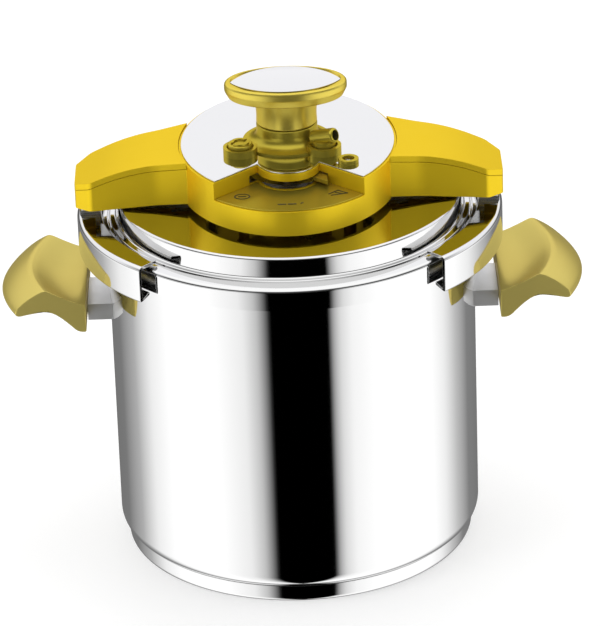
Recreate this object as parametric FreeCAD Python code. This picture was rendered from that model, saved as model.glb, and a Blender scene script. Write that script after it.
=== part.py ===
"""Clamp-jaw pressure canner: pot, lid, two sliding rim jaws and the turn knob that drives them.

Millimetres. +Z is up, the origin is the centre of the base plate's underside, +X runs through the
right handle and -Y is the front, where the dial window is. The model stands as it does when the
lid has just been put on: knob at "open", both jaws drawn back from the rim.
"""
import FreeCAD, Part
import math
import os

os.makedirs("parts", exist_ok=True)
V = FreeCAD.Vector
UP = V(0, 0, 1)

# ---------------------------------------------------------------- driving dimensions
pot_r = 112.0            # outside radius of the pot wall
pot_wall = 1.0           # stainless sheet of the pot
flange_z = 202.5         # top of the pot's turned-out flange
flange_reach = 6.0       # how far the flange stands out from the wall
flange_t = 1.5
base_h = 10.0            # height of the capsule base
base_inset = 4.5         # base cap's side inside the pot wall
base_cap_wall = 1.0
pot_corner = 9.0         # outside radius between the pot's floor and its wall

skirt_gap = 0.3          # lid skirt to pot flange
lid_sheet = 1.2
skirt_h = 14.5           # straight height of the lid skirt
panel_inset = 7.8        # edge of the lid's raised middle, inside the pot wall
panel_rise = 12.5         # raised middle above the lid's rim
panel_crown = 1.0        # doming of the raised middle
seal_gap = 0.3           # gasket to pot flange, gasket to lid

jaw_sheet = 2.0
jaw_gap = 1.5            # jaw wall to lid skirt when closed
jaw_top_w = 15.0         # width of the jaw's top plate
jaw_lip_w = 8.2          # width of the jaw's bottom lip, wall included
jaw_lip_rise = 3.0       # the lip slopes up towards the pot
jaw_half_angle = 47.0    # half the arc that a jaw covers, degrees
jaw_travel = 6.5         # each jaw moves in by this much when the knob is turned to closed
jaw_over_lid = 1.0       # jaw top plate above the lid's rim
jaw_under_flange = 0.6   # tip of the lip below the pot flange

knob_turn = 50.0         # degrees from open to closed
pin_r_open = 19.5        # drive pin's distance from the axis when open
pin_d = 5.0
slot_play = 0.3          # each side of a drive pin in its cam slot
spindle_d = 10.0
running_fit = 0.05       # radial clearance of a turning or sliding fit
bar_w = 18.0             # jaw bar
bar_t = 3.0
clear = 0.5              # general clearance between moving pieces

hub_rx = 66.0            # half width of the centre cover
hub_ry = 82.0            # half depth of the centre cover
hub_lift = 3.2           # centre cover above the lid
hub_h = 26.3             # height of the centre cover
cover_wall = 2.4
arm_w_hub = 33.5         # half width of a cover arm where it leaves the hub
arm_w_end = 24.0         # half width of a cover arm at its end
arm_corner = 9.0         # cut corner at the arm's end
arm_tip_h = 15.5         # height of a cover arm at its end
arm_root_lift = 3.3      # underside of an arm above the hub's bottom edge, where it leaves the hub
arm_cap_h = 4.0          # the separate top panel of an arm
seam = 0.3               # open joint under the top panel
trim_t = 1.0
trim_inset = 1.4         # trim plate's edge inside the hub's edge
window_drop = 11.0       # dial floor below the trim plate

collar_r = 18.5
collar_h = 12.5
knob_gap = 0.5           # collar to knob neck
neck_r = 18.5
neck_h = 16.2
knob_rx = 37.0
knob_ry = 23.5
knob_h = 10.0
inlay_rx = 33.3
inlay_ry = 20.5
inlay_edge = 0.6         # inlay's tips below the knob's rim
inlay_dome = 1.8         # inlay's middle above its tips

bracket_w = 40.0         # handle bracket, along Y
bracket_h = 10.5
bracket_out = 13.5       # bracket's reach from the pot wall
bracket_z = 158.5        # height of the bracket's middle
grip_half = 42.0         # half length of a grip, along Y
grip_bulge = 10.0        # the grip's middle stands out further than its ends

# ---------------------------------------------------------------- derived positions
base_r = pot_r - base_inset                                # outside radius of the base cap
panel_r = pot_r - panel_inset                              # edge of the raised middle of the lid
lid_r = pot_r + flange_reach + skirt_gap + lid_sheet       # outside of the lid skirt
skirt_z = flange_z - flange_t                              # bottom edge of the skirt
rim_z = skirt_z + skirt_h                                  # top of the lid's rim
panel_z = rim_z + panel_rise                               # top of the panel at its edge
crown_z = panel_z + panel_crown                            # top of the panel in the middle
jaw_in = lid_r + jaw_gap                                   # inside of the jaw wall
jaw_out = jaw_in + jaw_sheet
jaw_z = rim_z + jaw_over_lid                               # underside of the jaw's top plate
jaw_top = jaw_z + jaw_sheet
beam_z = crown_z + 0.6                                     # underside of the bridge beam
beam_t = 2.5
bar_z = beam_z + beam_t + clear                            # underside of the jaw bars
cam_z = bar_z + bar_t + 2.0
cam_t = 2.5
hub_z = crown_z + hub_lift
hub_top = hub_z + hub_h
trim_z = hub_top + trim_t
floor_z = hub_top - window_drop
arm_end = jaw_out + jaw_travel                             # arm ends are flush with open jaws
arm_bottom = panel_z - 2.0
collar_top = trim_z + collar_h
neck_z = collar_top + knob_gap
knob_z = neck_z + neck_h
knob_top = knob_z + knob_h
bush_r = 7.6
cam_r = pin_r_open + pin_d / 2 + slot_play + 1.9


# ---------------------------------------------------------------- shape helpers
def to_xy(x, y):
    return V(x, y, 0)


def to_xz(x, z):
    return V(x, 0, z)


def outline(points, place=to_xy):
    """Closed wire through (a, b) or (a, b, corner radius) points."""
    plain = [place(p[0], p[1]) for p in points]
    radii = [p[2] if len(p) > 2 else 0 for p in points]
    count = len(points)
    starts, ends, arcs = [], [], []
    for i, corner in enumerate(plain):
        if not radii[i]:
            starts.append(corner)
            ends.append(corner)
            arcs.append(None)
            continue
        before = (plain[i - 1] - corner).normalize()
        after = (plain[(i + 1) % count] - corner).normalize()
        half = before.getAngle(after) / 2
        setback = radii[i] / math.tan(half)
        middle = corner + (before + after).normalize() * (radii[i] / math.sin(half) - radii[i])
        starts.append(corner + before * setback)
        ends.append(corner + after * setback)
        arcs.append(Part.Arc(starts[-1], middle, ends[-1]).toShape())
    edges = []
    for i in range(count):
        if arcs[i]:
            edges.append(arcs[i])
        edges.append(Part.makeLine(ends[i], starts[(i + 1) % count]))
    return Part.Wire(edges)


def turned(points):
    """Solid of revolution about Z from an (r, z) outline."""
    return Part.Face(outline(points, to_xz)).revolve(V(), UP, 360)


def prism(points, z0, z1):
    """Upright solid from an (x, y) outline."""
    return Part.Face(outline(points)).extrude(V(0, 0, z1 - z0)).translated(V(0, 0, z0))


def block(x0, x1, y0, y1, z0, z1):
    return Part.makeBox(x1 - x0, y1 - y0, z1 - z0, V(x0, y0, z0))


def rod(r, z0, z1, x=0, y=0):
    return Part.makeCylinder(r, z1 - z0, V(x, y, z0))


def tube(r_out, r_in, z0, z1, x=0, y=0):
    return rod(r_out, z0, z1, x, y).cut(rod(r_in, z0 - 1, z1 + 1, x, y))


def oval(rx, ry, z0, z1):
    """Upright elliptic solid about the origin."""
    long_axis, short_axis = max(rx, ry), min(rx, ry)
    edge = Part.Ellipse(V(), long_axis, short_axis).toShape()
    if ry > rx:
        edge.rotate(V(), UP, 90)
    face = Part.Face(Part.Wire([edge]))
    return face.extrude(V(0, 0, z1 - z0)).translated(V(0, 0, z0))


def hexagon(across, z0, z1, x=0, y=0):
    reach = across / math.sqrt(3)
    corners = [(x + reach * math.cos(math.radians(60 * i)), y + reach * math.sin(math.radians(60 * i)))
               for i in range(6)]
    return prism(corners, z0, z1)


def mirrored(shape):
    return shape.mirror(V(), V(1, 0, 0))


def turned_copy(shape, degrees):
    copy = shape.copy()
    copy.rotate(V(), UP, degrees)
    return copy


def fuse(first, *others):
    return first.fuse(list(others)).removeSplitter()


def save(node, shape):
    shape.exportStep(f"parts/{node}.step")


def coil(radius, wire, z0, z1, turns, x=0, y=0):
    """Compression spring: round wire swept along a smooth helix."""
    steps = 12
    rise = (z1 - z0 - wire) / (turns * steps)
    points = []
    for i in range(turns * steps + 1):
        angle = 2 * math.pi * i / steps
        points.append(V(radius * math.cos(angle), radius * math.sin(angle), rise * i))
    helix = Part.BSplineCurve()
    helix.interpolate(points)
    start = helix.tangent(helix.FirstParameter)[0]
    section = Part.Wire([Part.makeCircle(wire / 2, points[0], start)])
    spring = Part.Wire([helix.toShape()]).makePipeShell([section], True, False)
    return spring.translated(V(x, y, z0 + wire / 2))


# ---------------------------------------------------------------- pot
# Deep-drawn pot: flat floor, round corner and straight wall, with a flat rim ring welded on its
# mouth and polished flush, which stands out as the flange that the jaws grip.
pot_in = pot_r - pot_wall
flange_r = pot_r + flange_reach
floor_top = base_h + pot_wall
pot_shell = turned([
    (0, base_h), (pot_r, base_h, pot_corner), (pot_r, flange_z - flange_t),
    (pot_in, flange_z - flange_t), (pot_in, floor_top, pot_corner - pot_wall), (0, floor_top)])
pot_rim = turned([(pot_in, flange_z - flange_t), (flange_r, flange_z - flange_t), (flange_r, flange_z),
                  (pot_in, flange_z, 1.2)])

# Capsule base: an aluminium disc closed in by a pressed steel cap.
base_cap = turned([(0, 0), (base_r, 0, 3.0), (base_r, base_h + 0.9), (base_r - base_cap_wall, base_h + 0.9),
                   (base_r - base_cap_wall, base_cap_wall, 2.0), (0, base_cap_wall)])
base_cap = base_cap.cut(pot_shell)
core_r = base_r - base_cap_wall
base_core = turned([(0, base_cap_wall), (core_r, base_cap_wall, 2.0), (core_r, base_h), (0, base_h)])
base_core = base_core.cut(pot_shell)
save("pot_shell", pot_shell)
save("pot_rim", pot_rim)
save("base_cap", base_cap)
save("base_core", base_core)


# ---------------------------------------------------------------- side handles
# A pressed steel box is welded to the wall, and the grip is screwed to the stud inside it.
bracket_t = 1.2
bracket_end = pot_r + bracket_out
bracket_low = bracket_z - bracket_h / 2
bracket_high = bracket_z + bracket_h / 2
stud_r = 2.2
stud_z = bracket_z + 1.6
stud_head = 4.0
screw_x = bracket_end + 26.0
pot_solid = rod(pot_r, 0, flange_z)


def bracket():
    shell = block(pot_r - 6, bracket_end, -bracket_w / 2, bracket_w / 2, bracket_low, bracket_high)
    hollow = block(pot_r - 7, bracket_end - bracket_t, -bracket_w / 2 + bracket_t,
                   bracket_w / 2 - bracket_t, bracket_low + bracket_t, bracket_high - bracket_t)
    bore = Part.makeCylinder(stud_r, 20, V(bracket_end - 10, 0, stud_z), V(1, 0, 0))
    return shell.cut(hollow).cut(pot_solid).cut(bore)


def grip_section(y):
    """Gull-wing outline of the grip at one place along Y: thick root, ridge, thin outer wing."""
    bulge = grip_bulge * (1 - (y / grip_half) ** 2)
    root = bracket_end + 0.2
    root_low = bracket_low + 2.5
    dish = 3.0 * (1 - (y / grip_half) ** 2)
    ridge_x = root + 24 + bulge
    tip_x = root + 43 + bulge
    corners = [
        (root, root_low), (root + 6, root_low - 0.5), (root + 13 + bulge / 2, root_low + 10),
        (ridge_x + 3, root_low + 17), (tip_x - 3, root_low + 10.5), (tip_x, root_low + 12.5),
        (tip_x - 0.5, root_low + 16), (ridge_x + 9, root_low + 24), (ridge_x, root_low + 28.5),
        (root + 12 + bulge / 2, root_low + 22 - dish), (root + 3, root_low + 18.5),
        (root, root_low + 17.5)]
    return Part.Wire(Part.makePolygon([V(x, y, z) for x, z in corners + corners[:1]]).Edges)


def grip():
    steps = 8
    sections = [grip_section(-grip_half + 2 * grip_half * i / steps) for i in range(steps + 1)]
    body = Part.makeLoft(sections, True, False)
    bore = Part.makeCylinder(stud_r + running_fit, 60, V(bracket_end - 10, 0, stud_z), V(1, 0, 0))
    head = Part.makeCylinder(stud_head + 0.2, 60, V(screw_x - 9, 0, stud_z), V(1, 0, 0))
    return body.cut(bore).cut(head)


def grip_screw():
    """Screw that pulls the grip on to the bracket."""
    shank = Part.makeCylinder(stud_r, screw_x - 9 - pot_r, V(pot_r, 0, stud_z), V(1, 0, 0))
    head = Part.makeCylinder(stud_head, 4, V(screw_x - 9, 0, stud_z), V(1, 0, 0))
    return shank.fuse(head).removeSplitter().cut(pot_solid)


for name, right in (("handle_bracket", bracket()), ("handle_grip", grip()), ("handle_screw", grip_screw())):
    save(f"{name}_right", right)
    save(f"{name}_left", mirrored(right))


# ---------------------------------------------------------------- lid and gasket
# Pressed lid: skirt over the flange, sloping rim, pressed groove, steep step, slightly domed panel.
seat_r = panel_r + 5.3               # outer edge of the flat shoulder at the foot of the step
groove_r = seat_r + 1.2
rim_slope = 1.4
steam_x, steam_y = 22.0, -19.5       # operating valve
safety_x, safety_y = -28.5, -18.0    # safety valve
pin_x, pin_y = 36.0, -37.0           # pressure indicator pin
steam_bore = 4.0
safety_bore = 3.7
pin_bore = 4.0
shoulder_z = rim_z + 0.3


def lid_line(drop, side):
    """Lid surface from the skirt's bottom to the axis, drop below and side inside the outer face."""
    return [
        (lid_r - side, skirt_z), (lid_r - side, rim_z - rim_slope - drop, 2.2 - side),
        (groove_r + 0.6 - side, rim_z - drop, 0.5), (groove_r, rim_z - 1.6 - drop),
        (groove_r - 1.2, shoulder_z - drop), (panel_r + 2.0 - side, shoulder_z - drop, 1.0),
        (panel_r - side, panel_z - drop, 1.4), (0, crown_z - drop)]


lid_shell = turned(lid_line(0, 0) + lid_line(lid_sheet, lid_sheet)[::-1])
for x, y, r in ((steam_x, steam_y, steam_bore), (safety_x, safety_y, safety_bore), (pin_x, pin_y, pin_bore)):
    lid_shell = lid_shell.cut(rod(r, crown_z - 12, crown_z + 5, x, y))
save("lid_shell", lid_shell)

# Silicone gasket: a lipped ring that fills the channel inside the skirt.
seal_out = lid_r - lid_sheet - seal_gap
seal_in = pot_in - 0.6
seal_low = flange_z + seal_gap
seal_high = rim_z - 1.6 - lid_sheet - seal_gap
lid_gasket = turned([
    (seal_in, seal_low), (seal_out, seal_low), (seal_out, seal_high - 0.9), (seal_in + 3, seal_high - 0.2),
    (seal_in, seal_high - 0.2), (seal_in, seal_high - 2.2), (seal_out - 2.5, seal_high - 3.4),
    (seal_out - 2.5, seal_low + 2.4), (seal_in, seal_low + 1.6)])
save("lid_gasket", lid_gasket)


# ---------------------------------------------------------------- bridge beam under the cover
# A steel strap on two welded pads carries the spindle bush and guides both jaw bars.
beam_x = panel_r - 8.2
beam_y = 21.0
pad_x = beam_x / 2
guide_x = beam_x - 30.0
guide_w = 12.0
guide_t = 1.5
guide_out = bar_w / 2 + 7.5
beam_holes = ((steam_x, steam_y, steam_bore + 3.5), (safety_x, safety_y, safety_bore + 3.5),
              (pin_x, pin_y, pin_bore + 3.5))

beam = prism([(-beam_x, -beam_y + 6, 4), (-34, -beam_y, 10), (34, -beam_y, 10), (beam_x, -beam_y + 6, 4),
              (beam_x, beam_y - 6, 4), (34, beam_y, 10), (-34, beam_y, 10), (-beam_x, beam_y - 6, 4)],
             beam_z, beam_z + beam_t)
beam = beam.cut(rod(bush_r, beam_z - 1, beam_z + beam_t + 1))
for x, y, r in beam_holes:
    beam = beam.cut(rod(r, beam_z - 1, beam_z + beam_t + 1, x, y))
for side in (-1, 1):
    for y in (-guide_out + 2.5, guide_out - 2.5):
        beam = beam.cut(rod(1.5, beam_z - 1, beam_z + beam_t + 1, side * guide_x, y))
save("bridge_beam", beam)

# Welded pads: discs that carry the beam clear of the domed lid.
pads = [rod(7, panel_z - 0.4, beam_z, side * pad_x, 0).cut(lid_shell) for side in (-1, 1)]
save("beam_pads", Part.makeCompound([pad.Solids[0] for pad in pads]))

# Keeper straps that hold the jaw bars down on the beam.
guide_top = bar_z + bar_t + clear
guide = block(-guide_w / 2, guide_w / 2, -guide_out, guide_out, beam_z + beam_t, guide_top + guide_t)
guide = guide.cut(block(-guide_w, guide_w, -bar_w / 2 - clear, bar_w / 2 + clear, beam_z, guide_top))
guide = guide.cut(block(-guide_w, guide_w, -guide_out - 1, -bar_w / 2 - clear - guide_t,
                        beam_z + beam_t + guide_t, guide_top + 5))
guide = guide.cut(block(-guide_w, guide_w, bar_w / 2 + clear + guide_t, guide_out + 1,
                        beam_z + beam_t + guide_t, guide_top + 5))
for y in (-guide_out + 2.5, guide_out - 2.5):
    guide = guide.cut(rod(1.5, beam_z, guide_top + 5, 0, y))
guide_right = guide.translated(V(guide_x, 0, 0))
save("jaw_guide_right", guide_right)
save("jaw_guide_left", mirrored(guide_right))

guide_screws = []
for side in (-1, 1):
    for y in (-guide_out + 2.5, guide_out - 2.5):
        head_z = beam_z + beam_t + guide_t
        screw = rod(1.5, beam_z, head_z, side * guide_x, y).fuse(rod(2.3, head_z, head_z + 1.4, side * guide_x, y))
        guide_screws.append(screw.removeSplitter().Solids[0])
save("guide_screws", Part.makeCompound(guide_screws))

# Flanged brass bush pressed into the beam, where the spindle turns.
bush_bore = spindle_d / 2 + running_fit
spindle_bush = tube(bush_r, bush_bore, beam_z, bar_z + bar_t + 1.0)
save("spindle_bush", spindle_bush)


# ---------------------------------------------------------------- jaws
# Each jaw is a bent steel channel on the rim, riveted to a bar that a pin drives in and out.
lip_top = flange_z - flange_t - jaw_under_flange
lip_tip_r = jaw_out - jaw_lip_w
lip_low = lip_top - jaw_lip_rise - jaw_sheet
foot_x = jaw_out - 11.0
foot_w = bar_w - 2
foot_t = 2.5
web_x = jaw_out - jaw_top_w + 0.7

jaw_profile = [
    (jaw_out - jaw_top_w, jaw_z), (jaw_in, jaw_z, 1.0), (jaw_in, lip_low + jaw_sheet, 1.0),
    (lip_tip_r, lip_top), (lip_tip_r, lip_top - jaw_sheet), (jaw_out, lip_low, 2.0),
    (jaw_out, jaw_top, 3.0), (jaw_out - jaw_top_w, jaw_top)]
jaw = Part.Face(outline(jaw_profile, to_xz)).revolve(V(), UP, 2 * jaw_half_angle)
jaw = turned_copy(jaw, -jaw_half_angle)
rivet_spots = [(foot_x + 5.5, -foot_w / 3), (foot_x + 5.5, foot_w / 3)]
for x, y in rivet_spots:
    jaw = jaw.cut(rod(1.5, jaw_z - 1, jaw_top + 1, x, y))

pin_closed = pin_r_open - jaw_travel
bar = block(pin_closed - 4.6, web_x + bar_t, -bar_w / 2, bar_w / 2, bar_z, bar_z + bar_t)
web = block(web_x, web_x + bar_t, -foot_w / 2, foot_w / 2, jaw_top, bar_z + bar_t)
foot = block(web_x, foot_x + 9, -foot_w / 2, foot_w / 2, jaw_top, jaw_top + foot_t)
bar = fuse(bar, web, foot).cut(rod(pin_d / 2, bar_z - 1, bar_z + bar_t + 1, pin_closed, 0))
rivets = []
for x, y in rivet_spots:
    bar = bar.cut(rod(1.5, jaw_top - 1, jaw_top + foot_t + 1, x, y))
    rivet = rod(1.5, jaw_z, jaw_top + foot_t, x, y).fuse(rod(2.6, jaw_top + foot_t, jaw_top + foot_t + 1.0, x, y))
    rivets.append(rivet.removeSplitter().Solids[0])
drive_pin = rod(pin_d / 2, bar_z, cam_z + cam_t + 0.5, pin_closed, 0)

drawn_back = V(jaw_travel, 0, 0)
for name, shape in (("jaw", jaw), ("jaw_bar", bar), ("jaw_rivets", Part.makeCompound(rivets)),
                    ("drive_pin", drive_pin)):
    right = shape.translated(drawn_back)
    save(f"{name}_right", right)
    save(f"{name}_left", mirrored(right))


# ---------------------------------------------------------------- spindle, cam plate and pointer
def spiral_slot():
    """Slot whose radius falls evenly with angle, so that turn and jaw travel keep one ratio."""
    half = pin_d / 2 + slot_play
    steps = 10
    fall = jaw_travel / math.radians(knob_turn)
    edges = []
    ends = []
    for edge in (1, -1):
        points = []
        for i in range(steps + 1):
            angle = math.radians(knob_turn * i / steps)
            middle = pin_r_open - jaw_travel * i / steps
            r = middle + edge * half * math.hypot(1, fall / middle)
            points.append(V(r * math.cos(angle), r * math.sin(angle), 0))
        curve = Part.BSplineCurve()
        curve.interpolate(points)
        edges.append(curve.toShape())
        ends.append((points[0], points[-1]))
    band = Part.Wire([edges[0], Part.makeLine(ends[0][1], ends[1][1]), edges[1],
                      Part.makeLine(ends[1][0], ends[0][0])])
    slot = Part.Face(band).extrude(V(0, 0, cam_t + 2)).translated(V(0, 0, cam_z - 1))
    last = math.radians(knob_turn)
    open_end = rod(half, cam_z - 1, cam_z + cam_t + 1, pin_r_open, 0)
    shut_end = rod(half, cam_z - 1, cam_z + cam_t + 1, pin_closed * math.cos(last), pin_closed * math.sin(last))
    return slot.fuse([open_end, shut_end])


cam_plate = tube(cam_r, spindle_d / 2, cam_z, cam_z + cam_t)
cam_plate = cam_plate.cut(spiral_slot()).cut(turned_copy(spiral_slot(), 180))
save("cam_plate", cam_plate)

ring_t = 1.2
spacer_r = 7.5
pointer_z = floor_z + 2.9
pointer_t = 2.6
spacer_top = pointer_z
save("retaining_ring", tube(spacer_r + 1, spindle_d / 2, cam_z + cam_t, cam_z + cam_t + ring_t))
save("spindle_spacer", tube(spacer_r, spindle_d / 2, cam_z + cam_t + ring_t, spacer_top))
spindle_top = knob_z + 1.0
spindle = rod(spindle_d / 2, beam_z, spindle_top).cut(rod(2.1, spindle_top - 14, spindle_top + 1))
save("spindle", spindle)

pointer_angle = -65.0      # the pointer's direction when the knob is at open
pointer_reach = 55.0
pointer_arm = prism([(6, -2.6), (pointer_reach - 11, -2.6), (pointer_reach - 11, -5.0), (pointer_reach, 0),
                     (pointer_reach - 11, 5.0), (pointer_reach - 11, 2.6), (6, 2.6)],
                    pointer_z, pointer_z + pointer_t)
pointer = turned_copy(pointer_arm, pointer_angle).fuse(rod(11.0, pointer_z, pointer_z + pointer_t))
pointer = pointer.removeSplitter().cut(rod(spindle_d / 2, pointer_z - 1, pointer_z + pointer_t + 1))
save("pointer", pointer)


# ---------------------------------------------------------------- knob
# Moulded knob: round neck, oval head, and a bright lens-shaped inlay over its screw.
head_line = [(0, knob_z), (knob_rx - 2.5, knob_z, 2.0), (knob_rx, knob_z + 5.0, 3.5), (knob_rx, knob_top, 2.2),
             (knob_rx - 3.6, knob_top), (knob_rx - 4.2, knob_top - 0.8), (0, knob_top - 0.8)]
flatten = FreeCAD.Matrix()
flatten.scale(1, knob_ry / knob_rx, 1)
knob_head = turned(head_line).transformGeometry(flatten)
neck = turned([(0, neck_z), (neck_r, neck_z, 0.8), (neck_r - 0.6, neck_z + neck_h * 0.45, 40),
               (neck_r + 1.5, knob_z + 1.0), (0, knob_z + 1.0)])


def lens(rx, ry, z0, z1):
    """Pointed oval between two equal arcs."""
    r = (rx ** 2 + ry ** 2) / (2 * ry)
    return rod(r, z0, z1, 0, r - ry).common(rod(r, z0, z1, 0, ry - r))


inlay_low = knob_top - 2.0
knob_shell = fuse(knob_head, neck)
knob_shell = knob_shell.cut(rod(spindle_d / 2, neck_z - 1, spindle_top))
knob_shell = knob_shell.cut(rod(2.6, spindle_top - 1, knob_top)).cut(rod(5.0, spindle_top + 3.0, knob_top + 1))
knob_shell = knob_shell.cut(lens(inlay_rx + 0.3, inlay_ry + 0.3, inlay_low, knob_top + 2))
save("knob_shell", knob_shell)

knob_screw = rod(2.05, spindle_top - 12, spindle_top + 3).fuse(rod(4.6, spindle_top + 3, spindle_top + 6))
save("knob_screw", knob_screw.removeSplitter())

dome_r = (inlay_rx ** 2 + inlay_dome ** 2) / (2 * inlay_dome)
dome = Part.makeSphere(dome_r, V(0, 0, knob_top - inlay_edge + inlay_dome - dome_r))
knob_inlay = lens(inlay_rx, inlay_ry, inlay_low, knob_top + inlay_dome).common(dome)
save("knob_inlay", knob_inlay)


# ---------------------------------------------------------------- centre cover and arm panels
# One moulding covers the mechanism: an oval hub with a dial window and two arms over the jaw bars.
# Each arm is closed on top by its own panel.
arm_x0 = hub_rx - 26.0
arm_knee_x = hub_rx + 14.0
arm_mid_x = arm_end - 31.5


def arm_solid(inset, drop, low):
    """Right arm, its sides inset and its top dropped, reaching down to low below its real edge."""
    end = arm_end - inset
    hub_w = arm_w_hub + 3.0 - inset
    knee_w = (arm_w_hub + arm_w_end) / 2 - 1.5 - inset
    end_w = arm_w_end - inset
    plan = prism([(arm_x0, -hub_w), (arm_knee_x, -knee_w, 60), (end - arm_corner, -end_w, 6),
                  (end, -end_w + arm_corner, 3), (end, end_w - arm_corner, 3),
                  (end - arm_corner, end_w, 6), (arm_knee_x, knee_w, 60), (arm_x0, hub_w)],
                 arm_bottom - 10, hub_top + 10)
    start_top = hub_top + 4.0 - drop
    mid_top = hub_top - 3.6 - drop
    end_top = arm_bottom + arm_tip_h - drop
    side = Part.Face(outline([(arm_x0, hub_z + arm_root_lift - low), (arm_end + 5, arm_bottom - 0.4 - low),
                              (arm_end + 5, end_top - 2.1), (arm_mid_x, mid_top, 120),
                              (arm_x0, start_top)], to_xz))
    side = side.extrude(V(0, 160, 0)).translated(V(0, -80, 0))
    return plan.common(side)


roof_t = 2.0
hub_shell = oval(hub_rx, hub_ry, hub_z, hub_top)
hub_hollow = oval(hub_rx - cover_wall, hub_ry - cover_wall, hub_z - 1, hub_top - roof_t)

# Dial window: a pocket cut through the front wall, with a tongue of the roof left in its middle.
window_x = hub_rx * 0.674
window_y = -hub_ry * 0.732
tongue_x = 18.5
tongue_y = -hub_ry * 0.439
tongue_front = -hub_ry * 0.622
pocket_wall = 2.2
window_reach = 2.0              # the pocket's side line is carried on past the hub by this factor


def window_wire():
    out_x = tongue_x + (window_x - tongue_x) * window_reach
    out_y = tongue_y + (window_y - tongue_y) * window_reach
    tongue = Part.Arc(V(tongue_x, tongue_y, 0), V(0, tongue_front, 0), V(-tongue_x, tongue_y, 0)).toShape()
    return Part.Wire([
        Part.makeLine(V(out_x, out_y, 0), V(tongue_x, tongue_y, 0)), tongue,
        Part.makeLine(V(-tongue_x, tongue_y, 0), V(-out_x, out_y, 0)),
        Part.makeLine(V(-out_x, out_y, 0), V(out_x, out_y, 0))])


def window(grow, z0, z1):
    face = Part.Face(window_wire())
    if grow:
        face = face.makeOffset2D(grow)
    return face.extrude(V(0, 0, z1 - z0)).translated(V(0, 0, z0))


pocket = window(pocket_wall, floor_z - roof_t, hub_top).common(oval(hub_rx, hub_ry, hub_z, hub_top))
slot_top = pointer_z + pointer_t + 0.8
pointer_slot = block(-tongue_x - 5, tongue_x + 5, tongue_front - 12, tongue_y + 12, floor_z + 0.9, slot_top)

arm_hollow = arm_solid(cover_wall, cover_wall, 8)
arm_lower = arm_solid(0, arm_cap_h, 0)
cover = hub_shell.cut(hub_hollow).cut(arm_hollow).cut(mirrored(arm_hollow))
roof = oval(hub_rx, hub_ry, hub_top - roof_t, hub_top)
for wall in (arm_lower, mirrored(arm_lower)):
    cover = cover.fuse(wall.cut(hub_shell))
cover = cover.cut(arm_hollow).cut(mirrored(arm_hollow))
cover = cover.fuse([roof, pocket]).cut(window(0, floor_z, hub_top + 5)).cut(pointer_slot)
cover = cover.removeSplitter()
roof_low = hub_top - roof_t
collar_bore = spacer_r + clear
for x, y, r in ((0, 0, collar_bore), (steam_x, steam_y, 4.5), (safety_x, safety_y, 4.5), (pin_x, pin_y, 4.5)):
    cover = cover.cut(rod(r, roof_low - 1, hub_top + 3, x, y))
post_spots = [(sx * 48.0, sy * 15.0) for sx in (-1, 1) for sy in (-1, 1)]
for x, y in post_spots:
    cover = cover.cut(rod(1.6, roof_low - 1, hub_top - 0.5, x, y))
save("centre_cover", cover)

arm_cap = arm_solid(0, 0, 0).cut(arm_solid(-1, arm_cap_h - seam, 8)).cut(arm_solid(cover_wall, cover_wall, 8))
lip_ring = arm_solid(cover_wall, cover_wall - 0.5, 8).cut(arm_solid(cover_wall + 1.2, cover_wall, 9))
lip_ring = lip_ring.cut(arm_solid(-1, arm_cap_h + 2.5, 12))
arm_cap = arm_cap.fuse(lip_ring).cut(oval(hub_rx + 0.2, hub_ry + 0.2, hub_z - 5, hub_top + 9)).removeSplitter()
save("arm_panel_right", arm_cap)
save("arm_panel_left", mirrored(arm_cap))

posts = []
for x, y in post_spots:
    post = hexagon(6.0, beam_z + beam_t, roof_low, x, y).fuse(rod(1.5, beam_z + beam_t, hub_top - 0.6, x, y))
    posts.append(post.removeSplitter().Solids[0])
save("cover_posts", Part.makeCompound(posts))

# Dial plate: thin moulded floor of the window with a low half-round boss under the tongue.
dial_t = 0.8
dial = window(-0.3, floor_z, floor_z + dial_t).common(oval(hub_rx - 1.2, hub_ry - 1.2, hub_z, hub_top))
save("dial_plate", dial)

# Trim plate: polished steel disc let in to the top of the hub, cut out round the window.
trim = oval(hub_rx - trim_inset, hub_ry - trim_inset, hub_top, trim_z).cut(window(0.4, hub_top - 1, trim_z + 1))
for x, y, r in ((0, 0, collar_bore + 0.5), (steam_x, steam_y, 4.5), (safety_x, safety_y, 4.5), (pin_x, pin_y, 4.5)):
    trim = trim.cut(rod(r, hub_top - 1, trim_z + 1, x, y))
save("trim_plate", trim)


# ---------------------------------------------------------------- valve housing and valves
# Trumpet-shaped collar on the trim plate, with an ear round each valve.
ear_h = 4.5
ear_r = 10.3
housing = turned([(collar_bore, trim_z), (27.0, trim_z), (27.0, trim_z + 1.2), (collar_r, trim_z + 2.0, 7.0),
                  (collar_r, collar_top, 0.8), (collar_bore, collar_top)])
well_r = 8.2
well_z = trim_z + 2.2
for x, y in ((safety_x, safety_y), (steam_x, steam_y)):
    housing = housing.fuse(rod(ear_r, trim_z, trim_z + ear_h, x, y))
for x, y in ((safety_x, safety_y), (steam_x, steam_y)):
    housing = housing.cut(rod(well_r, well_z, collar_top + 5, x, y)).cut(rod(4.5, trim_z - 1, well_z + 1, x, y))
housing = housing.cut(rod(collar_bore, trim_z - 1, collar_top + 1))

valve_lift = 2.0
nut_h = 2.4
spring_wire = 0.5


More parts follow.
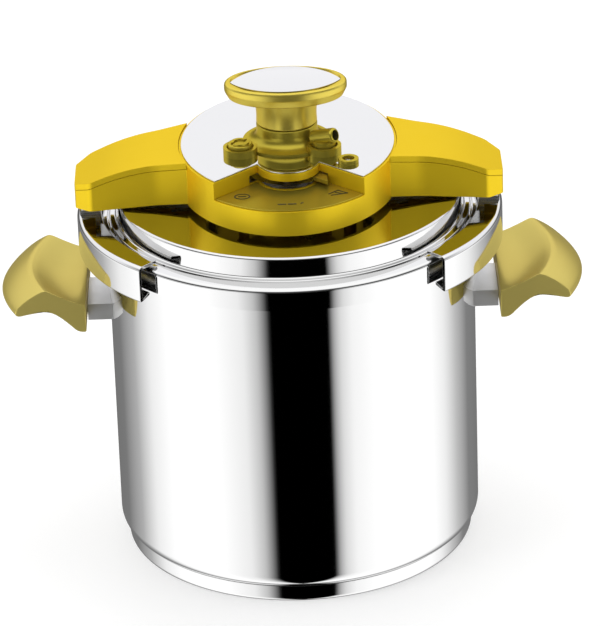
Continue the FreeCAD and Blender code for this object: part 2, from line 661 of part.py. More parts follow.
def valve(name, x, y, bore, head):
    """Spring-loaded valve: threaded tube with its nut, sealing stem, spring and moulded head."""
    under = crown_z - lid_sheet - 1.6
    tube_r = 3.2
    bore_r = 2.5
    stem_r = 1.2
    tube_top = well_z + 0.8
    body = rod(bore - 0.1, under, crown_z + nut_h, x, y).fuse([
        rod(bore + 3.5, under - 2, under, x, y), rod(tube_r, crown_z + nut_h, tube_top, x, y)])
    body = body.cut(rod(bore_r, under + 4, tube_top - 1.2, x, y))
    body = body.cut(rod(stem_r + 0.1, under - 3, tube_top + 1, x, y))
    save(f"{name}_tube", body.removeSplitter())
    washer = tube(bore + 3.2, bore - 0.1, under, crown_z - lid_sheet - 0.2, x, y)
    save(f"{name}_seal", washer.cut(lid_shell))
    nut = hexagon(2 * bore + 4.4, crown_z + 0.1, crown_z + nut_h, x, y).cut(lid_shell)
    save(f"{name}_nut", nut.cut(rod(bore - 0.1, crown_z - 1, crown_z + nut_h + 1, x, y)))
    collar_z = under + 4.2
    stem = rod(stem_r, collar_z, head_z + 1.0, x, y).fuse(rod(bore_r - 0.1, collar_z, collar_z + 2.0, x, y))
    save(f"{name}_stem", stem.removeSplitter())
    spring_r = (bore_r + stem_r) / 2
    save(f"{name}_spring", coil(spring_r, spring_wire, collar_z + 2.0, tube_top - 1.2, 6, x, y))
    save(f"{name}_head", head)


head_z = well_z + 2.0
# Safety valve head: a flat round button with a raised curved bar on each side.
button = turned([(0, head_z), (well_r - 0.6, head_z, 0.4), (well_r - 0.6, head_z + 2.6, 1.0),
                 (0, head_z + 2.6)]).translated(V(safety_x, safety_y, 0))
for half_turn in (0, 180):
    bar_ring = tube(5.6, 3.6, head_z + 2.6, head_z + 3.5, safety_x, safety_y)
    bar_ring = bar_ring.common(block(safety_x - 9, safety_x + 9, safety_y + 1.2, safety_y + 9, head_z, head_z + 5))
    bar_ring.rotate(V(safety_x, safety_y, 0), UP, half_turn + 30)
    button = button.fuse(bar_ring)
button = button.cut(rod(1.25, head_z - 1, head_z + 1.0, safety_x, safety_y)).removeSplitter()
valve("safety_valve", safety_x, safety_y, safety_bore, button)

# Steam valve head: a short nozzle that points to the front right and slightly up.
nozzle_dir = V(0.80, -0.52, 0.30).normalize()
nozzle_r = 4.7
nozzle_len = 17.0
nozzle_mid = V(steam_x, steam_y, head_z + 5.2)
nozzle_start = nozzle_mid - nozzle_dir * (nozzle_len / 2)
nozzle = Part.makeCylinder(nozzle_r, nozzle_len, nozzle_start, nozzle_dir)
nozzle = nozzle.makeFillet(1.6, nozzle.Edges)
nozzle_room = Part.makeCylinder(nozzle_r + clear, nozzle_len, nozzle_start - nozzle_dir * clear, nozzle_dir)
for lift in (0, valve_lift):
    housing = housing.cut(nozzle_room.translated(V(0, 0, lift)))
save("valve_housing", housing.removeSplitter())
vent = Part.makeCylinder(nozzle_r - 1.5, 9, nozzle_mid + nozzle_dir * (nozzle_len / 2 - 8), nozzle_dir)
nozzle = nozzle.fuse(rod(well_r - 1.2, head_z, head_z + 3.4, steam_x, steam_y)).cut(vent)
nozzle = nozzle.cut(rod(1.25, head_z - 1, head_z + 1.0, steam_x, steam_y)).removeSplitter()
valve("steam_valve", steam_x, steam_y, steam_bore, nozzle)

# Pressure indicator: a pin in a sleeve, which rises when the pot is under pressure.
pin_r = 2.0
sleeve_low = crown_z - lid_sheet - 2.5
sleeve = rod(pin_bore - 0.1, sleeve_low, trim_z + 0.4, pin_x, pin_y).fuse(
    rod(pin_bore + 2.5, sleeve_low, sleeve_low + 1.5, pin_x, pin_y))
save("indicator_sleeve", sleeve.cut(rod(pin_r + running_fit, sleeve_low - 1, trim_z + 2, pin_x, pin_y)))
save("indicator_cup", tube(6.2, 3.6, trim_z, trim_z + 2.6, pin_x, pin_y).cut(
    rod(pin_bore, trim_z - 1, trim_z + 0.5, pin_x, pin_y)))
indicator_rise = 4.0
save("indicator_pin", rod(pin_r, sleeve_low - indicator_rise - 1.6, trim_z + 1.0, pin_x, pin_y).fuse(
    rod(3.2, sleeve_low - indicator_rise - 3.0, sleeve_low - indicator_rise - 1.6, pin_x, pin_y)).removeSplitter())
save("indicator_seal", tube(3.4, pin_r, sleeve_low - indicator_rise - 1.6,
                            sleeve_low - indicator_rise - 0.3, pin_x, pin_y))
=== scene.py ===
"""Clamp-jaw pressure canner, dressed for show: mirror steel pot and lid, gold mouldings.

Metres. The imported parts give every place; each section below follows one piece of the assembly.
"""
import math

import bmesh
import bpy
from mathutils import Matrix, Vector


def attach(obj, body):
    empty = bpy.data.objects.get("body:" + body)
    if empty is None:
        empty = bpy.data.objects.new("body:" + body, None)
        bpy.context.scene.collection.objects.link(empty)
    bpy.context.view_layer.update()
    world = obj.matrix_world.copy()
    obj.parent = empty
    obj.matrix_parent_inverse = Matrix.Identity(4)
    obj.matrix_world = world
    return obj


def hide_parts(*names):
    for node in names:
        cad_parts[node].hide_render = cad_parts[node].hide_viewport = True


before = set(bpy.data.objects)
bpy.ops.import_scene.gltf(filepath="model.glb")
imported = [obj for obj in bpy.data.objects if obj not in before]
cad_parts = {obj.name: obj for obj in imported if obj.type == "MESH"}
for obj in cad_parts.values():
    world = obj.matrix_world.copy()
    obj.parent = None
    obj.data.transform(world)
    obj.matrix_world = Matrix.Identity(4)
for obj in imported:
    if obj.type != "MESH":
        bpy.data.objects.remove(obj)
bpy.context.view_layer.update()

# ---------------------------------------------------------------- studio
# A pale sweep of paper on a table, white walls all round, and one dark gap behind the camera
# that draws the black band down the mirror-polished pot.
scene = bpy.context.scene
scene.view_settings.view_transform = "Standard"

camera_place = Vector((0, -2.40, 1.27))
camera_target = Vector((0.004, 0, 0.1435))
camera_roll = math.radians(2.0)
lens_mm = 247.3

forward = (camera_target - camera_place).normalized()
level = forward.cross(Vector((0, 0, 1))).normalized()
down = forward.cross(level)
right = level * math.cos(camera_roll) + down * math.sin(camera_roll)
up = level * math.sin(camera_roll) - down * math.cos(camera_roll)
camera = bpy.data.objects.new("camera", bpy.data.cameras.new("camera"))
camera.data.lens = lens_mm
camera.data.clip_end = 20
camera.matrix_world = Matrix.Translation(camera_place) @ Matrix((right, up, -forward)).transposed().to_4x4()
scene.collection.objects.link(camera)
scene.camera = camera


class Value:
    """A shader socket that can be used in sums; every operator adds its Math node."""

    def __init__(self, tree, socket):
        self.tree = tree
        self.socket = socket

    def maths(self, operation, *values):
        slots = {str(i): value for i, value in enumerate(values)}
        return self.tree.node("ShaderNodeMath", {"operation": operation}, slots)

    def __add__(self, other):
        return self.maths("ADD", self, other)

    def __radd__(self, other):
        return self.maths("ADD", other, self)

    def __rsub__(self, other):
        return self.maths("SUBTRACT", other, self)

    def __mul__(self, other):
        return self.maths("MULTIPLY", self, other)

    def __rmul__(self, other):
        return self.maths("MULTIPLY", other, self)

    def above(self, low, high):
        """0 below low, 1 above high, smooth between them."""
        return self.tree.node("ShaderNodeMapRange", {"interpolation_type": "SMOOTHSTEP"},
                              {"Value": self, "From Min": low, "From Max": high})


class Tree:
    """Adds nodes to a shader tree and gives back the output that is asked for."""

    def __init__(self, owner):
        owner.use_nodes = True
        self.nodes = owner.node_tree.nodes
        self.links = owner.node_tree.links

    def node(self, kind, settings, values, out=0):
        node = self.nodes.new(kind)
        for setting, value in settings.items():
            if setting == "stops":
                ramp = node.color_ramp
                while len(ramp.elements) < len(value):
                    ramp.elements.new(1.0)
                for element, (position, level) in zip(ramp.elements, value):
                    element.position = position
                    element.color = (level, level, level, 1)
            else:
                setattr(node, setting, value)
        for socket, value in values.items():
            target = node.inputs[int(socket) if socket.isdigit() else socket]
            if isinstance(value, Value):
                self.links.new(value.socket, target)
            else:
                target.default_value = value
        return Value(self, node.outputs[out])

    def mix(self, factor, first, second):
        """Blend of two colours, each a triple or a socket."""
        first, second = [value if isinstance(value, Value) else (*value, 1) for value in (first, second)]
        return self.node("ShaderNodeMix", {"data_type": "RGBA"}, {"0": factor, "6": first, "7": second}, 2)


# White walls all round for the light, and for the reflections a wall whose brightness goes with
# the direction: a black gap in front, white at both sides, grey behind, and a dark skirting line.
world = bpy.data.worlds.new("white_room")
scene.world = world
room = Tree(world)
direction = room.node("ShaderNodeTexCoord", {}, {}, "Generated")
east = room.node("ShaderNodeSeparateXYZ", {}, {"Vector": direction}, "X")
north = room.node("ShaderNodeSeparateXYZ", {}, {"Vector": direction}, "Y")
height = room.node("ShaderNodeSeparateXYZ", {}, {"Vector": direction}, "Z")
bearing = east.maths("ARCTAN2", east, 0.0 - north)
wall_stops = [
    (0.0, 0.10), (0.10, 0.16), (0.16, 0.38), (0.21, 0.80), (0.26, 0.98), (0.36, 0.96), (0.41, 0.80),
    (0.435, 0.50), (0.452, 0.12), (0.458, 0.0), (0.560, 0.0), (0.568, 0.35), (0.58, 0.66), (0.60, 0.86),
    (0.64, 0.96), (0.76, 0.98), (0.80, 0.80), (0.84, 0.46), (0.89, 0.18), (1.0, 0.10)]
turn_share = bearing * (0.5 / math.pi) + 0.5
wall = room.node("ShaderNodeValToRGB", {"stops": wall_stops}, {"Fac": turn_share}, "Color")
ceiling = height.above(0.10, 0.30)
behind = north.above(-0.25, 0.35)
overhead = room.mix(behind, (0.05, 0.05, 0.05), (0.79, 0.79, 0.81))
overhead = room.mix(height.above(0.55, 0.8), overhead, (0.92, 0.92, 0.92))
skirting = height.above(-0.06, -0.01) * (1.0 - height.above(0.05, 0.14))
reflected = room.mix(ceiling, wall, overhead)
reflected = room.mix(0.9 * skirting, reflected, (0.02, 0.02, 0.02))
glossy = room.node("ShaderNodeLightPath", {}, {}, "Is Glossy Ray")
backdrop = room.nodes["Background"]
room.links.new(room.mix(glossy, (1, 1, 1), reflected).socket, backdrop.inputs["Color"])
room.links.new((1.0 + 0.6 * glossy).socket, backdrop.inputs["Strength"])


def area_light(name, place, target, width, height, power):
    light = bpy.data.lights.new(name, "AREA")
    light.shape = "RECTANGLE"
    light.size, light.size_y = width, height
    light.energy = power
    lamp = bpy.data.objects.new(name, light)
    lamp.location = place
    lamp.rotation_euler = (Vector(target) - Vector(place)).to_track_quat("-Z", "Y").to_euler()
    lamp.visible_glossy = False
    scene.collection.objects.link(lamp)


area_light("softbox_left", (-1.6, -1.0, 1.6), (0, 0, 0.2), 0.8, 1.0, 6)
area_light("softbox_top", (0.4, 0.3, 2.2), (0, 0, 0.2), 1.4, 1.2, 6)


class Finish(Tree):
    """One material: a Principled shader and the nodes that vary it over the surface."""

    def __init__(self, name, color, metallic, roughness, **constants):
        self.material = bpy.data.materials.new(name)
        super().__init__(self.material)
        self.shader = self.nodes["Principled BSDF"]
        self.shader.inputs["Base Color"].default_value = (*color, 1)
        self.shader.inputs["Metallic"].default_value = metallic
        self.shader.inputs["Roughness"].default_value = roughness
        for socket, value in constants.items():
            target = self.shader.inputs[socket.replace("_", " ")]
            target.default_value = (*value, 1) if isinstance(value, tuple) else value
        self.place = self.node("ShaderNodeTexCoord", {}, {}, "Object")

    def noise(self, scale, detail=2.0, stretch=(1, 1, 1)):
        spread = self.node("ShaderNodeMapping", {}, {"Vector": self.place, "Scale": stretch})
        return self.node("ShaderNodeTexNoise", {},
                         {"Vector": spread, "Scale": scale, "Detail": detail}, "Fac")

    def feed(self, socket, value):
        self.links.new(value.socket, self.shader.inputs[socket])

    def bump(self, height, strength, distance):
        self.feed("Normal", self.node("ShaderNodeBump", {}, {
            "Height": height, "Strength": strength, "Distance": distance}, "Normal"))


# A sheet of white paper on the table. It glows a little, so that the shadow on it stays faint, and
# the polished steel sees the room's wall in place of it.
paper = Finish("paper", (0.6, 0.6, 0.6), 0.0, 0.6, Emission_Color=(1, 1, 1), Emission_Strength=0.42)
paper.bump(paper.noise(40), 0.02, 0.001)
sheet = bmesh.new()
bmesh.ops.create_grid(sheet, x_segments=1, y_segments=1, size=6)
floor = bpy.data.objects.new("table_paper", bpy.data.meshes.new("table_paper"))
sheet.to_mesh(floor.data)
sheet.free()
floor.data.materials.append(paper.material)
floor.visible_glossy = False
scene.collection.objects.link(floor)

# ---------------------------------------------------------------- pot
# Deep-drawn stainless pot, polished to a mirror, with very fine polishing lines running round it.
# The flange that the jaws grip is a ring on its mouth, shown here in one skin with the wall.
mirror_steel = Finish("mirror_steel", (0.66, 0.66, 0.66), 1.0, 0.045)
polish_lines = mirror_steel.noise(90, 3, (1, 1, 14))
cloudy = mirror_steel.noise(7, 3)
mirror_steel.feed("Roughness", 0.025 + 0.03 * cloudy + 0.02 * polish_lines)
mirror_steel.feed("Base Color", mirror_steel.mix(cloudy, (0.64, 0.64, 0.64), (0.68, 0.68, 0.68)))
mirror_steel.bump(polish_lines, 0.02, 0.0001)

satin_steel = Finish("satin_steel", (0.74, 0.74, 0.73), 1.0, 0.25)
turning = satin_steel.noise(60, 3, (1, 1, 30))
satin_steel.feed("Roughness", 0.2 + 0.16 * turning)
satin_steel.bump(turning, 0.08, 0.0002)


def piece(name, shape, finish, smooth_below=30):
    """Object from a finished bmesh, sharp only at edges that turn by more than smooth_below degrees."""
    bmesh.ops.recalc_face_normals(shape, faces=shape.faces)
    for face in shape.faces:
        face.smooth = True
    mesh = bpy.data.meshes.new(name)
    shape.to_mesh(mesh)
    shape.free()
    mesh.set_sharp_from_angle(angle=math.radians(smooth_below))
    mesh.materials.append(finish.material)
    made = bpy.data.objects.new(name, mesh)
    scene.collection.objects.link(made)
    made.modifiers.new("flat_faces", "WEIGHTED_NORMAL").keep_sharp = True
    return made


def profile_wire(points):
    """Closed outline in the XZ plane through (x, z) or (x, z, corner radius, steps), in millimetres."""
    wire = bmesh.new()
    corners = [wire.verts.new((point[0] / 1000, 0, point[1] / 1000)) for point in points]
    for first, second in zip(corners, corners[1:] + corners[:1]):
        wire.edges.new((first, second))
    for corner, point in zip(corners, points):
        if len(point) > 2:
            bmesh.ops.bevel(wire, geom=[corner], offset=point[2] / 1000, offset_type="OFFSET",
                            affect="VERTICES", segments=point[3], profile=0.5, material=-1)
    return wire


def spun(points, steps, start=0.0, sweep=360.0):
    """Outline turned about the Z axis, from start over sweep degrees."""
    shape = profile_wire(points)
    full = sweep == 360.0
    bmesh.ops.rotate(shape, verts=shape.verts, cent=(0, 0, 0),
                     matrix=Matrix.Rotation(math.radians(start), 3, "Z"))
    bmesh.ops.spin(shape, geom=shape.verts[:] + shape.edges[:], cent=(0, 0, 0), axis=(0, 0, 1),
                   dvec=(0, 0, 0), angle=math.radians(sweep), steps=steps, use_merge=full,
                   use_normal_flip=False, use_duplicate=False)
    bmesh.ops.remove_doubles(shape, verts=shape.verts, dist=1e-6)
    if not full:
        bmesh.ops.holes_fill(shape, edges=[edge for edge in shape.edges if edge.is_boundary], sides=0)
    return shape


def fit(made, node, body, slot, *others):
    """The finished piece takes the node's place and moves with its body."""
    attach(made, body)
    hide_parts(node, *others)


pot_r, pot_wall, base_top = 112.0, 1.0, 10.0
flange_r, flange_depth, mouth_z = 118.0, 1.5, 202.5
pot = piece("pot", spun([
    (0, base_top), (pot_r, base_top, 9.0, 10), (pot_r, mouth_z - flange_depth, 1.2, 4),
    (flange_r, mouth_z - flange_depth, 0.6, 3), (flange_r, mouth_z, 0.6, 3),
    (pot_r - pot_wall, mouth_z, 2.0, 5),
    (pot_r - pot_wall, base_top + pot_wall, 8.0, 8), (0, base_top + pot_wall)], 256), mirror_steel)
fit(pot, "pot_shell", "pot", "mirror_steel", "pot_rim")

# ---------------------------------------------------------------- capsule base
# Pressed steel cap brazed over an aluminium disc, so that the base heats evenly. Its foot is rounded
# and its edge sits just proud of the pot's corner.
base_r = 107.5
base_cap = piece("base_cap", spun([
    (0, 0), (base_r, 0, 3.0, 6), (base_r, base_top + 0.9, 0.35, 2), (base_r - 0.9, base_top + 0.9, 0.3, 2),
    (base_r - 1.0, base_top - 1.0), (base_r - 1.0, 1.0, 2.0, 4), (0, 1.0)], 192), mirror_steel)
fit(base_cap, "base_cap", "pot", "mirror_steel")

# ---------------------------------------------------------------- lid
# Pressed lid that drops over the flange: skirt, narrow sloping rim, a pressed groove, then the steep
# step up to the raised middle. Three holes for the valves are pierced in it.
lid_low, rim_z, panel_z, crown_z = 201.0, 215.5, 228.0, 229.0
lid_r, groove_r, panel_r, lid_sheet = 119.5, 110.7, 104.2, 1.2


def lid_side(drop, side):
    return [
        (lid_r - side, lid_low), (lid_r - side, rim_z - 1.4 - drop, 2.2 - side, 6),
        (groove_r + 0.6 - side, rim_z - drop, 0.5, 3), (groove_r, rim_z - 1.6 - drop, 0.3, 2),
        (groove_r - 1.2, rim_z + 0.3 - drop, 0.4, 3), (panel_r + 2.0 - side, rim_z + 0.3 - drop, 1.0, 4),
        (panel_r - side, panel_z - drop, 1.4, 5), (60, panel_z + 0.6 - drop), (0, crown_z - drop)]


valve_holes = ((22.0, -19.5, 4.0), (-28.5, -18.0, 3.7), (36.0, -37.0, 4.0))
lid = piece("lid", spun(lid_side(0, 0) + lid_side(lid_sheet, lid_sheet)[::-1], 256), mirror_steel)


def round_bar(x, y, radius, low, high):
    """Plain upright bar in millimetres, as a drill to cut with."""
    bar = bmesh.new()
    bmesh.ops.create_cone(bar, cap_ends=True, segments=32, radius1=radius / 1000, radius2=radius / 1000,
                          depth=(high - low) / 1000)
    bmesh.ops.translate(bar, verts=bar.verts, vec=(x / 1000, y / 1000, (low + high) / 2000))
    return bar


def add_to(shape, other):
    """Puts a second bmesh into the first one."""
    carrier = bpy.data.meshes.new("carrier")
    other.to_mesh(carrier)
    other.free()
    shape.from_mesh(carrier)
    bpy.data.meshes.remove(carrier)


def cut(made, tool):
    """Takes the tool's volume out of a finished piece."""
    mesh = bpy.data.meshes.new("cutter")
    tool.to_mesh(mesh)
    tool.free()
    cutter = bpy.data.objects.new("cutter", mesh)
    scene.collection.objects.link(cutter)
    step = made.modifiers.new("cut", "BOOLEAN")
    step.operation = "DIFFERENCE"
    step.solver = "EXACT"
    step.object = cutter
    graph = bpy.context.evaluated_depsgraph_get()
    result = bpy.data.meshes.new_from_object(made.evaluated_get(graph))
    made.modifiers.remove(step)
    made.data = result
    bpy.data.objects.remove(cutter)
    bpy.data.meshes.remove(mesh)


drill = bmesh.new()
for x, y, radius in valve_holes:
    add_to(drill, round_bar(x, y, radius, 220, 235))
cut(lid, drill)
fit(lid, "lid_shell", "lid", "mirror_steel")

# ---------------------------------------------------------------- jaws
# Two steel channels bent to the rim, each riveted to its sliding bar and drawn back from the rim
# while the knob is at open. Every edge is broken, and only the outside is polished.
jaw_out, jaw_in, jaw_top = 123.0, 121.0, 218.5
jaw_travel, jaw_angle = 6.5, 47.0
jaw_under_top = 0.21
jaw_line = [
    (jaw_out - 15.0, jaw_top - 2.0, 0.5, 3), (jaw_in, jaw_top - 2.0, 1.0, 4), (jaw_in, 196.9, 1.0, 4),
    (jaw_out - 8.2, 200.4, 0.6, 3), (jaw_out - 8.2, 198.4, 0.6, 3), (jaw_out, 195.4, 2.0, 6),
    (jaw_out, jaw_top, 3.0, 8), (jaw_out - 15.0, jaw_top, 0.7, 3)]


def ends_broken(shape, radius):
    """Rounds the edges round the two flat ends of a turned channel."""
    rims = []
    for edge in shape.edges:
        if len(edge.link_faces) == 2 and edge.calc_face_angle() > math.radians(60):
            rims.append(edge)
    bmesh.ops.bevel(shape, geom=rims, offset=radius, offset_type="OFFSET", affect="EDGES", segments=3,
                    profile=0.5, material=-1, clamp_overlap=True)
    return shape


for side, middle, shift in (("right", 0.0, jaw_travel), ("left", 180.0, -jaw_travel)):
    channel = spun(jaw_line, 72, middle - jaw_angle, 2 * jaw_angle)
    bmesh.ops.recalc_face_normals(channel, faces=channel.faces)
    bmesh.ops.translate(channel, verts=channel.verts, vec=(shift / 1000, 0, 0))
    jaw = piece(f"jaw_plate_{side}", ends_broken(channel, 0.0004), mirror_steel)
    jaw.data.materials.append(satin_steel.material)
    centre = Vector((shift / 1000, 0, 0))
    for face in jaw.data.polygons:
        outward = (face.center - centre).to_2d().normalized()
        looks_in = face.normal.to_2d().dot(outward) < -0.5
        under_top = face.normal.z < -0.5 and face.center.z > jaw_under_top
        if looks_in or under_top:
            face.material_index = 1
    fit(jaw, f"jaw_{side}", f"{side}_jaw", "mirror_steel")

# ---------------------------------------------------------------- side handle brackets
# Folded steel boxes welded to the wall, left softly brushed. They hold the grips away from the
# hot pot, and each grip is screwed to the stud inside its box.
flat_within = math.radians(0.4)
sharper_than = math.radians(35)


def merged_copy(node):
    """A node's own mesh with its doubles merged and its flat faces made whole."""
    shape = bmesh.new()
    shape.from_mesh(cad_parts[node].data)
    bmesh.ops.remove_doubles(shape, verts=shape.verts, dist=2e-6)
    bmesh.ops.dissolve_limit(shape, angle_limit=flat_within, verts=shape.verts, edges=shape.edges)
    return shape


def broken_edges(shape, radius, steps):
    """Rounds every edge that turns by more than sharper_than."""
    sharp = [edge for edge in shape.edges
             if len(edge.link_faces) == 2 and edge.calc_face_angle() > sharper_than]
    bmesh.ops.bevel(shape, geom=sharp, offset=radius, offset_type="OFFSET", affect="EDGES", segments=steps,
                    profile=0.5, material=-1, clamp_overlap=True)
    return shape


def dressed(node, body, slot, finish, radius, steps=2):
    """The node's own shape with its edges broken, ready to show."""
    made = piece(f"{node}_finished", broken_edges(merged_copy(node), radius, steps), finish)
    fit(made, node, body, slot)
    return made


soft_steel = Finish("soft_steel", (0.80, 0.80, 0.80), 1.0, 0.5)
rolled = soft_steel.noise(70, 3, (1, 1, 8))
soft_steel.feed("Roughness", 0.42 + 0.16 * rolled)
soft_steel.bump(rolled, 0.05, 0.0001)
for side in ("left", "right"):
    dressed(f"handle_bracket_{side}", "pot", "mirror_steel", soft_steel, 0.0006, 3)

# ---------------------------------------------------------------- centre cover and arm panels
# One gold-coloured moulding with a fine spark-eroded grain covers the mechanism, and each arm is
# closed on top by its own clipped panel.


def gold_moulding(name, shade, dim, metallic, roughness):
    """Metallic-coloured plastic with a fine mould grain, slight flow clouds and rubbed patches."""
    finish = Finish(name, shade, metallic, roughness, Specular_IOR_Level=0.35, Specular_Tint=(1.0, 0.8, 0.35))
    clouds = finish.noise(11, 4)
    rubbed = finish.noise(55, 3)
    grain = finish.noise(1400, 2)
    finish.feed("Base Color", finish.mix(clouds, dim, shade))
    finish.feed("Roughness", roughness - 0.06 + 0.08 * rubbed + 0.04 * grain)
    finish.bump(grain, 0.02, 0.0001)
    return finish


arm_gold = gold_moulding("arm_gold", (0.78, 0.56, 0.018), (0.72, 0.51, 0.015), 0.72, 0.42)
dressed("centre_cover", "lid", "gold_plastic", arm_gold, 0.0005)
for side in ("left", "right"):
    dressed(f"arm_panel_{side}", "lid", "gold_plastic", arm_gold, 0.0006)

# A darker copy of the gold for the dial floor and the pointer down in the window: the extra darkness is
# painted shade.
shaded_olive_gold = gold_moulding("shaded_olive_gold", (0.48, 0.39, 0.05), (0.43, 0.35, 0.04), 0.8, 0.30)
dressed("dial_plate", "lid", "gold_plastic", shaded_olive_gold, 0.0002)
dressed("pointer", "knob", "gold_plastic", shaded_olive_gold, 0.0003)

# ---------------------------------------------------------------- trim plate
# Steel plate let in to the top of the cover and cut out round the dial window. It is mirror
# polished, with a crisp burnished edge.
dressed("trim_plate", "lid", "mirror_steel", mirror_steel, 0.0003)

# ---------------------------------------------------------------- valve housing and valves
# Moulded collar round the knob's neck with an ear for each valve, glossier than the cover and in a darker
# copy of its gold, the extra darkness painted shade. Each valve has a moulded head on a steel stem, which
# lifts against a spring.
dressed("valve_housing", "lid", "gold_plastic", shaded_olive_gold, 0.0005)
dressed("safety_valve_head", "safety_valve", "gold_plastic", shaded_olive_gold, 0.0003)
nozzle = dressed("steam_valve_head", "steam_valve", "gold_plastic", shaded_olive_gold, 0.0003)

# The faces inside the nozzle's bore take the near-black mark paint: painted shade in the hole.
mark_paint_and_bore_shade = Finish("mark_paint_and_bore_shade", (0.05, 0.04, 0.01), 0.0, 0.5)
mark_paint_and_bore_shade.feed("Roughness", 0.45 + 0.2 * mark_paint_and_bore_shade.noise(300, 2))
mark_paint_and_bore_shade.bump(mark_paint_and_bore_shade.noise(500, 2), 0.05, 0.0001)
nozzle_middle = Vector((0.022, -0.0195, 0.2689))
nozzle_way = Vector((0.80, -0.52, 0.30)).normalized()
bore_length, bore_r = 0.0083, 0.0034
nozzle.data.materials.append(mark_paint_and_bore_shade.material)
# Faces inside the bore get the near-black finish as painted shade.
for face in nozzle.data.polygons:
    reach = face.center - nozzle_middle
    along = reach.dot(nozzle_way)
    sideways = reach - nozzle_way * along
    if 0 < along < bore_length and sideways.length < bore_r:
        face.material_index = 1
dressed("indicator_cup", "lid", "satin_steel", shaded_olive_gold, 0.0004)

# ---------------------------------------------------------------- knob
# Moulded knob with a round neck and an oval head, held on the spindle by a screw from above. A
# lens-shaped bright steel inlay covers the screw.
knob_gold = gold_moulding("knob_gold", (0.66, 0.53, 0.09), (0.61, 0.49, 0.08), 0.8, 0.30)
dressed("knob_shell", "knob", "grip_plastic", knob_gold, 0.0003)
dressed("knob_inlay", "knob", "inlay_steel", mirror_steel, 0.0003)

# ---------------------------------------------------------------- grips
# Injection-moulded grips in the same gold colour, each with a dished top and a rounded ridge for
# the fingers, screwed to its bracket.
grip_gold = gold_moulding("grip_gold", (0.60, 0.50, 0.14), (0.55, 0.45, 0.12), 0.6, 0.34)
grip_root, grip_low, grip_half, grip_ridge = 125.7, 155.75, 42.0, 28.5


def grip_row(y):
    """Section of the grip at one place along its length, in millimetres from the pot's axis."""
    swell = 1 - (y / grip_half) ** 2
    bulge, dish = 10.0 * swell, 6.0 * swell
    return [
        (0, 0), (6, -0.5), (13 + bulge / 2, 10), (27 + bulge, 17), (40 + bulge, 10.5), (43 + bulge, 12.5),
        (42.5 + bulge, 16), (33 + bulge, 24), (24 + bulge, grip_ridge), (12 + bulge / 2, 22 - dish),
        (3, 18.5), (0, 17.5)]


def grip_mesh(side):
    shape = bmesh.new()
    crease = shape.edges.layers.float.new("crease_edge")
    stations = [-42.0, -40.5, -30.0, -15.0, 0.0, 15.0, 30.0, 40.5, 42.0]
    rows = []
    for y in stations:
        row = [shape.verts.new((side * (grip_root + x) / 1000, y / 1000, (grip_low + z) / 1000))
               for x, z in grip_row(y)]
        rows.append([shape.edges.new((row[i - 1], row[i])) for i in range(len(row))])
    for first, second in zip(rows, rows[1:]):
        bmesh.ops.bridge_loops(shape, edges=first + second)
    for row in (rows[0], rows[-1]):
        bmesh.ops.contextual_create(shape, geom=row)
        for edge in row:
            edge[crease] = 0.75
    for edge in shape.edges:
        if all(abs(abs(end.co.x) * 1000 - grip_root) < 0.1 for end in edge.verts):
            edge[crease] = 0.8
        elif all(end.co.z * 1000 > grip_low + grip_ridge - 0.1 for end in edge.verts):
            edge[crease] = 0.4
    return shape


for side, sign in (("left", -1), ("right", 1)):
    grip = piece(f"grip_{side}", grip_mesh(sign), grip_gold, 60)
    grip.modifiers.clear()
    rounded = grip.modifiers.new("rounded", "SUBSURF")
    rounded.levels = rounded.render_levels = 3
    fit(grip, f"handle_grip_{side}", "pot", "grip_plastic")

# ---------------------------------------------------------------- dial marks
# Three low moulded marks on the dial floor, filled with dark paint: a ring, a row of dashes and a
# roof shape. They are plain signs with no lettering, and the pointer runs along them.
mark_low, mark_high = 248.2, 248.55


def strip(x0, y0, x1, y1, width):
    """Flat raised stroke between two points on the dial floor."""
    stroke = bmesh.new()
    bmesh.ops.create_cube(stroke, size=1)
    length = math.hypot(x1 - x0, y1 - y0)
    bmesh.ops.scale(stroke, vec=((length + width) / 1000, width / 1000, (mark_high - mark_low) / 1000),
                    verts=stroke.verts)
    bmesh.ops.rotate(stroke, verts=stroke.verts, cent=(0, 0, 0),
                     matrix=Matrix.Rotation(math.atan2(y1 - y0, x1 - x0), 3, "Z"))
    bmesh.ops.translate(stroke, verts=stroke.verts, vec=(
        (x0 + x1) / 2000, (y0 + y1) / 2000, (mark_low + mark_high) / 2000))
    return stroke


def ring_mark(x, y, radius, width, squash):
    """Raised oval ring on the dial floor."""
    ring = spun([(radius - width / 2, mark_low), (radius + width / 2, mark_low),
                 (radius + width / 2, mark_high), (radius - width / 2, mark_high)], 48)
    bmesh.ops.scale(ring, vec=(1, squash, 1), verts=ring.verts)
    bmesh.ops.translate(ring, verts=ring.verts, vec=(x / 1000, y / 1000, 0))
    return ring


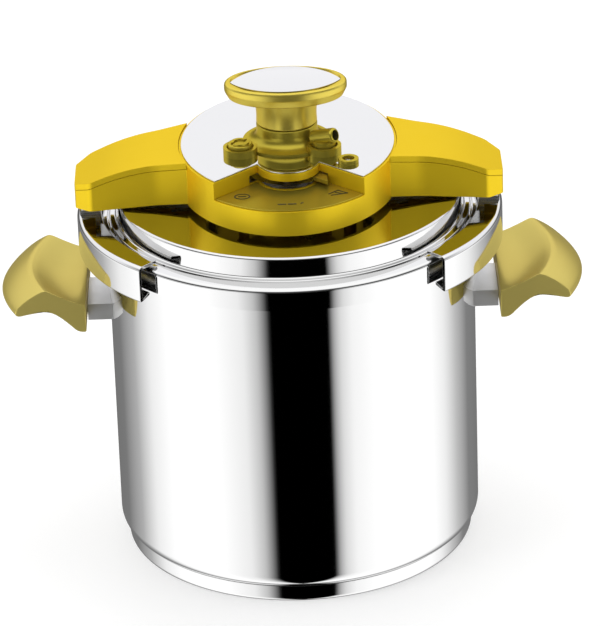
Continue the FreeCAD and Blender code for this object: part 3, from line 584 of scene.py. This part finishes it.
marks = ring_mark(-28.0, -58.0, 4.4, 0.8, 0.8)
add_to(marks, strip(-30.0, -58.0, -26.0, -58.0, 0.8))
for x0, x1 in ((-6.5, -2.5), (-0.5, 3.5)):
    add_to(marks, strip(x0, -71.5, x1, -71.5, 1.1))
add_to(marks, strip(7.0, -70.8, 7.6, -70.2, 0.9))
roof_strokes = (
    ((23.5, -58.5), (29.0, -53.5)), ((29.0, -53.5), (34.5, -58.0)), ((34.5, -58.0), (25.0, -60.5)),
    ((27.5, -56.5), (31.5, -58.5)))
for start, end in roof_strokes:
    add_to(marks, strip(*start, *end, 0.7))
dial_marks = piece("dial_marks", marks, mark_paint_and_bore_shade)
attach(dial_marks, "lid")

# ---------------------------------------------------------------- working parts
# Turned, stamped and moulded parts of the mechanism, valves and base. Most are out of sight until
# the lid is lifted or the knob turned, and each keeps the finish of its own stock.
brass = Finish("brass", (0.62, 0.42, 0.13), 1.0, 0.3)
tarnish = brass.noise(80, 4)
brass.feed("Base Color", brass.mix(tarnish, (0.55, 0.36, 0.10), (0.68, 0.47, 0.16)))
brass.feed("Roughness", 0.22 + 0.2 * tarnish)
brass.bump(brass.noise(200, 2, (1, 1, 10)), 0.05, 0.0001)

aluminium = Finish("aluminium", (0.72, 0.73, 0.74), 1.0, 0.4)
aluminium.feed("Roughness", 0.35 + 0.2 * aluminium.noise(60, 4))
aluminium.bump(aluminium.noise(150, 3), 0.08, 0.0002)

silicone = Finish("silicone", (0.62, 0.62, 0.60), 0.0, 0.55)
silicone.feed("Base Color", silicone.mix(silicone.noise(25, 3), (0.56, 0.56, 0.54), (0.68, 0.68, 0.66)))
silicone.feed("Roughness", 0.5 + 0.15 * silicone.noise(120, 3))
silicone.bump(silicone.noise(600, 2), 0.06, 0.0001)

stock = {
    satin_steel: ["bridge_beam", "beam_pads", "jaw_guide_left", "jaw_guide_right", "guide_screws",
                  "cover_posts", "steam_valve_nut", "safety_valve_nut", "steam_valve_stem",
                  "safety_valve_stem", "steam_valve_spring", "safety_valve_spring", "indicator_pin",
                  "cam_plate", "retaining_ring", "spindle_spacer", "spindle", "knob_screw",
                  "handle_screw_left", "handle_screw_right", "jaw_bar_left", "jaw_bar_right",
                  "jaw_rivets_left", "jaw_rivets_right", "drive_pin_left", "drive_pin_right"],
    brass: ["spindle_bush", "steam_valve_tube", "safety_valve_tube", "indicator_sleeve"],
    silicone: ["lid_gasket", "steam_valve_seal", "safety_valve_seal", "indicator_seal"],
    aluminium: ["base_core"]}
for finish, nodes in stock.items():
    for node in nodes:
        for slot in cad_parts[node].material_slots:
            slot.material = finish.material
